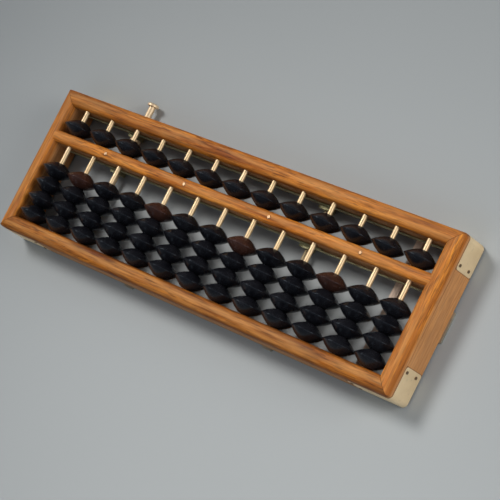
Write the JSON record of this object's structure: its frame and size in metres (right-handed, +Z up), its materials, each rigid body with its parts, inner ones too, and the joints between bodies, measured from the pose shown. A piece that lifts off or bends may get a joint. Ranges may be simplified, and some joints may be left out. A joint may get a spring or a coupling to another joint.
{
  "type": "abacus",
  "caption": "Low wooden soroban with brass corner brackets, sliding double-cone beads on brass rods and a sprung push-to-clear button.",
  "frame": {"origin": "middle of the whole outline, on the surface that the foot plates stand on", "axes": "+X along the row of rods, +Y towards the rear rail and the button, +Z up out of the table"},
  "size_m": [0.2654, 0.0896, 0.0238],
  "materials": {
    "frame_wood": "stained orange-brown hardwood, varnished, worn on the rounded tops",
    "batten_wood": "plain pale wood",
    "rod_brass": "drawn and polished",
    "bracket_brass": "thin sheet, dull satin",
    "foot_plate": "thin plate, dull",
    "spring_wire": "drawn wire",
    "button_metal": "satin",
    "strip_metal": "satin strip",
    "bead": "glossy near-black lacquer"
  },
  "bodies": {
    "frame": {"front_rail": "frame_wood", "rear_rail": "frame_wood", "left_rail": "frame_wood", "right_rail": "frame_wood", "beam": "frame_wood", "bead_rods": "rod_brass", "bracket_front_left": "bracket_brass", "bracket_front_right": "bracket_brass", "bracket_rear_left": "bracket_brass", "bracket_rear_right": "bracket_brass", "bracket_nails": "bracket_brass", "beam_pins": "rod_brass", "foot_plates": "foot_plate", "brace_batten": "batten_wood", "guide_rod": "rod_brass", "return_spring": "spring_wire"},
    "reset_slide": {"reset_button": "button_metal", "shaft_collar": "button_metal", "clearing_strip_upper": "strip_metal", "clearing_strip_lower": "strip_metal", "clearing_strip_extension": "strip_metal"},
    "upper_bead_01": {"upper_bead_01": "bead"},
    "lower_trio_01": {"lower_trio_01": "bead"},
    "lower_bead_01": {"lower_bead_01": "bead"},
    "upper_bead_02": {"upper_bead_02": "bead"},
    "lower_trio_02": {"lower_trio_02": "bead"},
    "lower_bead_02": {"lower_bead_02": "bead"},
    "upper_bead_03": {"upper_bead_03": "bead"},
    "lower_trio_03": {"lower_trio_03": "bead"},
    "lower_bead_03": {"lower_bead_03": "bead"},
    "upper_bead_04": {"upper_bead_04": "bead"},
    "lower_trio_04": {"lower_trio_04": "bead"},
    "lower_bead_04": {"lower_bead_04": "bead"},
    "upper_bead_05": {"upper_bead_05": "bead"},
    "lower_trio_05": {"lower_trio_05": "bead"},
    "lower_bead_05": {"lower_bead_05": "bead"},
    "upper_bead_06": {"upper_bead_06": "bead"},
    "lower_trio_06": {"lower_trio_06": "bead"},
    "lower_bead_06": {"lower_bead_06": "bead"},
    "upper_bead_07": {"upper_bead_07": "bead"},
    "lower_trio_07": {"lower_trio_07": "bead"},
    "lower_bead_07": {"lower_bead_07": "bead"},
    "upper_bead_08": {"upper_bead_08": "bead"},
    "lower_trio_08": {"lower_trio_08": "bead"},
    "lower_bead_08": {"lower_bead_08": "bead"},
    "upper_bead_09": {"upper_bead_09": "bead"},
    "lower_trio_09": {"lower_trio_09": "bead"},
    "lower_bead_09": {"lower_bead_09": "bead"},
    "upper_bead_10": {"upper_bead_10": "bead"},
    "lower_trio_10": {"lower_trio_10": "bead"},
    "lower_bead_10": {"lower_bead_10": "bead"},
    "upper_bead_11": {"upper_bead_11": "bead"},
    "lower_trio_11": {"lower_trio_11": "bead"},
    "lower_bead_11": {"lower_bead_11": "bead"},
    "upper_bead_12": {"upper_bead_12": "bead"},
    "lower_trio_12": {"lower_trio_12": "bead"},
    "lower_bead_12": {"lower_bead_12": "bead"},
    "upper_bead_13": {"upper_bead_13": "bead"},
    "lower_trio_13": {"lower_trio_13": "bead"},
    "lower_bead_13": {"lower_bead_13": "bead"}
  },
  "joints": [
    {"name": "reset_slide_press", "type": "slide", "parent": "frame", "child": "reset_slide", "axis": [0, 1, 0], "range_m": [-0.006, 0], "stiffness_N_per_m": 150, "springref_m": 0.004, "deforming": ["return_spring"]},
    {"name": "upper_bead_01_slide", "type": "slide", "parent": "frame", "child": "upper_bead_01", "axis": [0, 1, 0], "range_m": [0, 0.0056]},
    {"name": "lower_trio_01_slide", "type": "slide", "parent": "frame", "child": "lower_trio_01", "axis": [0, 1, 0], "range_m": [0, 0.0094]},
    {"name": "lower_bead_01_slide", "type": "slide", "parent": "lower_trio_01", "child": "lower_bead_01", "axis": [0, -1, 0], "range_m": [-0.0094, 0]},
    {"name": "upper_bead_02_slide", "type": "slide", "parent": "frame", "child": "upper_bead_02", "axis": [0, 1, 0], "range_m": [0, 0.0056]},
    {"name": "lower_trio_02_slide", "type": "slide", "parent": "frame", "child": "lower_trio_02", "axis": [0, 1, 0], "range_m": [0, 0.0094]},
    {"name": "lower_bead_02_slide", "type": "slide", "parent": "lower_trio_02", "child": "lower_bead_02", "axis": [0, -1, 0], "range_m": [-0.0094, 0]},
    {"name": "upper_bead_03_slide", "type": "slide", "parent": "frame", "child": "upper_bead_03", "axis": [0, 1, 0], "range_m": [0, 0.0056]},
    {"name": "lower_trio_03_slide", "type": "slide", "parent": "frame", "child": "lower_trio_03", "axis": [0, 1, 0], "range_m": [0, 0.0094]},
    {"name": "lower_bead_03_slide", "type": "slide", "parent": "lower_trio_03", "child": "lower_bead_03", "axis": [0, -1, 0], "range_m": [-0.0094, 0]},
    {"name": "upper_bead_04_slide", "type": "slide", "parent": "frame", "child": "upper_bead_04", "axis": [0, 1, 0], "range_m": [0, 0.0056]},
    {"name": "lower_trio_04_slide", "type": "slide", "parent": "frame", "child": "lower_trio_04", "axis": [0, 1, 0], "range_m": [0, 0.0094]},
    {"name": "lower_bead_04_slide", "type": "slide", "parent": "lower_trio_04", "child": "lower_bead_04", "axis": [0, -1, 0], "range_m": [-0.0094, 0]},
    {"name": "upper_bead_05_slide", "type": "slide", "parent": "frame", "child": "upper_bead_05", "axis": [0, 1, 0], "range_m": [0, 0.0056]},
    {"name": "lower_trio_05_slide", "type": "slide", "parent": "frame", "child": "lower_trio_05", "axis": [0, 1, 0], "range_m": [0, 0.0094]},
    {"name": "lower_bead_05_slide", "type": "slide", "parent": "lower_trio_05", "child": "lower_bead_05", "axis": [0, -1, 0], "range_m": [-0.0094, 0]},
    {"name": "upper_bead_06_slide", "type": "slide", "parent": "frame", "child": "upper_bead_06", "axis": [0, 1, 0], "range_m": [0, 0.0056]},
    {"name": "lower_trio_06_slide", "type": "slide", "parent": "frame", "child": "lower_trio_06", "axis": [0, 1, 0], "range_m": [0, 0.0094]},
    {"name": "lower_bead_06_slide", "type": "slide", "parent": "lower_trio_06", "child": "lower_bead_06", "axis": [0, -1, 0], "range_m": [-0.0094, 0]},
    {"name": "upper_bead_07_slide", "type": "slide", "parent": "frame", "child": "upper_bead_07", "axis": [0, 1, 0], "range_m": [0, 0.0056]},
    {"name": "lower_trio_07_slide", "type": "slide", "parent": "frame", "child": "lower_trio_07", "axis": [0, 1, 0], "range_m": [0, 0.0094]},
    {"name": "lower_bead_07_slide", "type": "slide", "parent": "lower_trio_07", "child": "lower_bead_07", "axis": [0, -1, 0], "range_m": [-0.0094, 0]},
    {"name": "upper_bead_08_slide", "type": "slide", "parent": "frame", "child": "upper_bead_08", "axis": [0, 1, 0], "range_m": [0, 0.0056]},
    {"name": "lower_trio_08_slide", "type": "slide", "parent": "frame", "child": "lower_trio_08", "axis": [0, 1, 0], "range_m": [0, 0.0094]},
    {"name": "lower_bead_08_slide", "type": "slide", "parent": "lower_trio_08", "child": "lower_bead_08", "axis": [0, -1, 0], "range_m": [-0.0094, 0]},
    {"name": "upper_bead_09_slide", "type": "slide", "parent": "frame", "child": "upper_bead_09", "axis": [0, 1, 0], "range_m": [0, 0.0056]},
    {"name": "lower_trio_09_slide", "type": "slide", "parent": "frame", "child": "lower_trio_09", "axis": [0, 1, 0], "range_m": [0, 0.0094]},
    {"name": "lower_bead_09_slide", "type": "slide", "parent": "lower_trio_09", "child": "lower_bead_09", "axis": [0, -1, 0], "range_m": [-0.0094, 0]},
    {"name": "upper_bead_10_slide", "type": "slide", "parent": "frame", "child": "upper_bead_10", "axis": [0, 1, 0], "range_m": [0, 0.0056]},
    {"name": "lower_trio_10_slide", "type": "slide", "parent": "frame", "child": "lower_trio_10", "axis": [0, 1, 0], "range_m": [0, 0.0094]},
    {"name": "lower_bead_10_slide", "type": "slide", "parent": "lower_trio_10", "child": "lower_bead_10", "axis": [0, -1, 0], "range_m": [-0.0094, 0]},
    {"name": "upper_bead_11_slide", "type": "slide", "parent": "frame", "child": "upper_bead_11", "axis": [0, 1, 0], "range_m": [0, 0.0056]},
    {"name": "lower_trio_11_slide", "type": "slide", "parent": "frame", "child": "lower_trio_11", "axis": [0, 1, 0], "range_m": [0, 0.0094]},
    {"name": "lower_bead_11_slide", "type": "slide", "parent": "lower_trio_11", "child": "lower_bead_11", "axis": [0, -1, 0], "range_m": [-0.0094, 0]},
    {"name": "upper_bead_12_slide", "type": "slide", "parent": "frame", "child": "upper_bead_12", "axis": [0, 1, 0], "range_m": [0, 0.0056]},
    {"name": "lower_trio_12_slide", "type": "slide", "parent": "frame", "child": "lower_trio_12", "axis": [0, 1, 0], "range_m": [0, 0.0094]},
    {"name": "lower_bead_12_slide", "type": "slide", "parent": "lower_trio_12", "child": "lower_bead_12", "axis": [0, -1, 0], "range_m": [-0.0094, 0]},
    {"name": "upper_bead_13_slide", "type": "slide", "parent": "frame", "child": "upper_bead_13", "axis": [0, 1, 0], "range_m": [0, 0.0056]},
    {"name": "lower_trio_13_slide", "type": "slide", "parent": "frame", "child": "lower_trio_13", "axis": [0, 1, 0], "range_m": [0, 0.0094]},
    {"name": "lower_bead_13_slide", "type": "slide", "parent": "lower_trio_13", "child": "lower_bead_13", "axis": [0, -1, 0], "range_m": [-0.0094, 0]}
  ]
}
